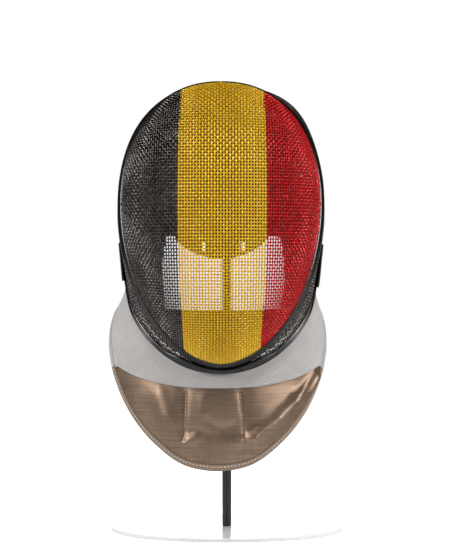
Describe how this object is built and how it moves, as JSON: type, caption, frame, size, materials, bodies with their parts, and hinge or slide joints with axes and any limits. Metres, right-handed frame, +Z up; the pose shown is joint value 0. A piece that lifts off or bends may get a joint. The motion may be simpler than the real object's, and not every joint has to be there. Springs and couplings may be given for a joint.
{
  "type": "fencing mask on a display stand",
  "caption": "Fencing mask with a woven wire face in three colours and a cloth bib, on a plain rod stand with a round base.",
  "frame": {"origin": "centre of the stand base's underside, on the rod's axis", "axes": "+Z up, the mask faces -Y, +X to the right of a viewer who looks at the face"},
  "size_m": [0.2341, 0.2433, 0.4456],
  "materials": {
    "black_wire": "painted woven steel wire",
    "yellow_wire": "painted woven steel wire",
    "red_wire": "painted woven steel wire",
    "black_vinyl": "glossy vinyl",
    "white_cloth": "quilted white cloth",
    "lame_cloth": "woven metallic cloth, silky",
    "binding_cloth": "woven binding tape",
    "black_foam": "foam under black knitted cloth",
    "black_webbing": "woven elastic webbing",
    "black_steel": "satin black paint",
    "white_steel": "satin white powder coat"
  },
  "bodies": {
    "root": {"face_mesh": "yellow_wire", "side_mesh": "black_wire", "seam_band": "black_vinyl", "edge_trim": "black_vinyl", "ear_tab_left": "black_webbing", "ear_tab_right": "black_webbing", "bib_upper": "white_cloth", "bib_lame": "lame_cloth", "bib_binding": "binding_cloth", "crown_pad": "black_foam", "cheek_pad_left": "black_foam", "cheek_pad_right": "black_foam", "chin_pad": "black_foam", "rear_tongue": "black_foam", "rear_strap": "black_webbing", "stand_rod": "black_steel", "stand_base": "white_steel"}
  },
  "joints": []
}
